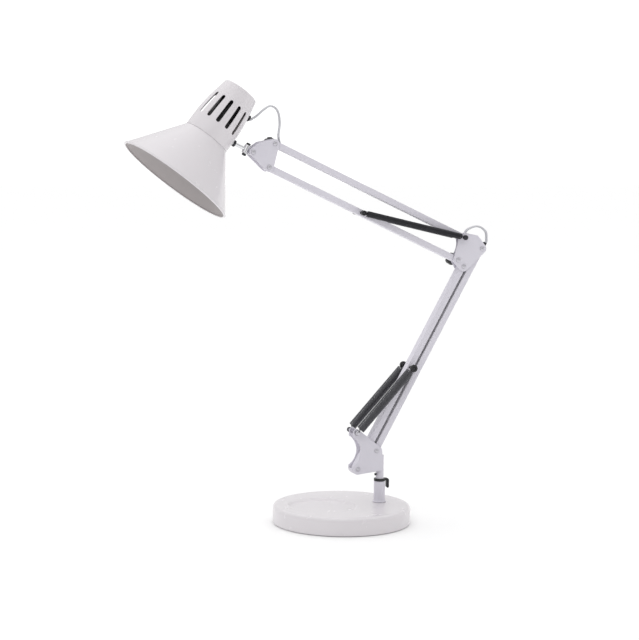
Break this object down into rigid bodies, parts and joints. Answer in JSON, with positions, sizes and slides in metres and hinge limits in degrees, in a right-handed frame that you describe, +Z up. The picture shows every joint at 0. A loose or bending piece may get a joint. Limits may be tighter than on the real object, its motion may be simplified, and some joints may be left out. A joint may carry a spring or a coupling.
{
  "type": "swing arm desk lamp",
  "caption": "White swing arm desk lamp: weighted round base with a shallow tray, swivelling bracket, spring-balanced parallelogram arms and a vented cone shade on a tilting rod.",
  "frame": {"origin": "centre of the underside of the base", "axes": "+Z up; the arms lie in the XZ plane, with the post on the +X side of the base and the shade hanging towards -X"},
  "size_m": [0.5165, 0.19, 0.6028],
  "materials": {
    "gloss_white": "smooth glossy white paint",
    "satin_white": "satin white powder coat",
    "black_plastic": "moulded black plastic",
    "black_steel": "black oxide",
    "spring_steel": "dark oiled spring wire",
    "cast_iron": "as cast",
    "chrome": "polished",
    "zinc_steel": "zinc plated",
    "rubber": "moulded",
    "lead_grey": "grey cable sheath",
    "brass": "turned",
    "nylon": "moulded natural nylon",
    "bakelite": "moulded black"
  },
  "bodies": {
    "base": {"base_shell": "gloss_white", "base_weight": "cast_iron", "base_pad": "rubber", "socket_tube": "satin_white", "socket_nut": "zinc_steel", "swivel_bush": "nylon"},
    "collar": {"clamp_collar": "black_plastic"},
    "swivel": {"swivel_spigot": "satin_white", "base_bracket": "satin_white", "stop_pin": "black_steel", "horn_stud_near": "zinc_steel", "horn_stud_far": "zinc_steel", "rear_pivot_rivet": "zinc_steel", "front_pivot_rivet": "zinc_steel"},
    "lower_rear": {"lower_rear_bar": "satin_white", "lead_lower_run": "lead_grey", "lead_outlet": "rubber", "lead_sleeve_lower": "rubber"},
    "lower_front": {"lower_front_bar": "satin_white", "lower_spring_pin": "black_steel", "lower_spring_cap_near": "black_plastic", "lower_spring_cap_far": "black_plastic", "lower_spring_near": "spring_steel", "lower_spring_far": "spring_steel"},
    "elbow": {"elbow_plate_near": "satin_white", "elbow_plate_far": "satin_white", "elbow_rear_rivet": "zinc_steel", "elbow_front_rivet": "zinc_steel", "elbow_spring_pin": "black_steel", "elbow_bolt": "zinc_steel", "lead_elbow_loop": "lead_grey"},
    "elbow_knob": {"elbow_knob": "black_plastic"},
    "upper_top": {"upper_top_bar": "satin_white", "lead_upper_run": "lead_grey", "lead_sleeve_elbow": "rubber", "lead_sleeve_head": "rubber"},
    "upper_bottom": {"upper_bottom_bar": "satin_white", "upper_spring_pin": "black_steel", "upper_spring_cap_near": "black_plastic", "upper_spring_cap_far": "black_plastic", "upper_spring_near": "black_steel", "upper_spring_far": "black_steel"},
    "head": {"head_plate_near": "satin_white", "head_plate_far": "satin_white", "head_bolt": "zinc_steel", "head_lower_rivet": "zinc_steel", "head_nose_rivet": "zinc_steel", "lead_head_loop": "lead_grey"},
    "head_knob": {"head_knob": "black_plastic"},
    "block": {"swivel_block": "chrome", "block_screw_upper": "black_plastic", "block_screw_lower": "black_plastic"},
    "shade": {"shade_cone": "gloss_white", "shade_neck": "gloss_white", "shade_rod": "chrome", "rod_nut": "black_steel", "lead_grommet": "rubber", "lampholder": "bakelite", "lampholder_ring": "bakelite", "lamp_contact": "brass"}
  },
  "joints": [
    {"name": "base_swivel", "type": "hinge", "parent": "base", "child": "swivel", "pos_m": [0.056, 0, 0.05], "axis": [0, 0, 1], "range_deg": [-170, 170]},
    {"name": "collar_turn", "type": "hinge", "parent": "base", "child": "collar", "pos_m": [0.056, 0, 0.056], "axis": [0, 0, 1], "range_deg": [-40, 40]},
    {"name": "lower_arm_swing", "type": "hinge", "parent": "swivel", "child": "lower_rear", "pos_m": [0.0475, 0, 0.0985], "axis": [0, 1, 0], "range_deg": [-60, 4], "deforming": ["lower_spring_near", "lower_spring_far", "lead_elbow_loop"]},
    {"name": "lower_front_follow", "type": "hinge", "parent": "swivel", "child": "lower_front", "pos_m": [0.0202, 0, 0.0741], "axis": [0, 1, 0], "range_deg": [-60, 4], "deforming": ["lower_spring_near", "lower_spring_far"]},
    {"name": "elbow_level", "type": "hinge", "parent": "lower_rear", "child": "elbow", "pos_m": [0.2007, 0, 0.37602], "axis": [0, 1, 0], "range_deg": [-4, 60], "deforming": ["lead_elbow_loop"]},
    {"name": "elbow_knob_turn", "type": "hinge", "parent": "elbow", "child": "elbow_knob", "pos_m": [0.1648, 0, 0.36072], "axis": [0, 1, 0], "range_deg": [-180, 180]},
    {"name": "upper_arm_swing", "type": "hinge", "parent": "elbow", "child": "upper_top", "pos_m": [0.1727, 0, 0.39222], "axis": [0, 1, 0], "range_deg": [-60, 50], "deforming": ["upper_spring_near", "upper_spring_far", "lead_elbow_loop", "lead_head_loop"]},
    {"name": "upper_bottom_follow", "type": "hinge", "parent": "elbow", "child": "upper_bottom", "pos_m": [0.1648, 0, 0.36072], "axis": [0, 1, 0], "range_deg": [-60, 50], "deforming": ["upper_spring_near", "upper_spring_far"]},
    {"name": "head_level", "type": "hinge", "parent": "upper_top", "child": "head", "pos_m": [-0.10372, 0, 0.51994], "axis": [0, 1, 0], "range_deg": [-50, 60], "deforming": ["lead_head_loop"]},
    {"name": "head_knob_turn", "type": "hinge", "parent": "head", "child": "head_knob", "pos_m": [-0.10372, 0, 0.51994], "axis": [0, 1, 0], "range_deg": [-180, 180]},
    {"name": "head_tilt", "type": "hinge", "parent": "head", "child": "block", "pos_m": [-0.13402, 0, 0.50855], "axis": [0, 1, 0], "range_deg": [-45, 45], "deforming": ["lead_head_loop"]},
    {"name": "head_turn", "type": "hinge", "parent": "block", "child": "shade", "pos_m": [-0.14127, 0, 0.51193], "axis": [-0.9063, 0, 0.4226], "range_deg": [-70, 70], "deforming": ["lead_head_loop"]}
  ],
  "couplings": [
    {"joint": "lower_front_follow", "follows": "lower_arm_swing", "ratio": 1},
    {"joint": "elbow_level", "follows": "lower_arm_swing", "ratio": -1},
    {"joint": "upper_bottom_follow", "follows": "upper_arm_swing", "ratio": 1},
    {"joint": "head_level", "follows": "upper_arm_swing", "ratio": -1}
  ]
}
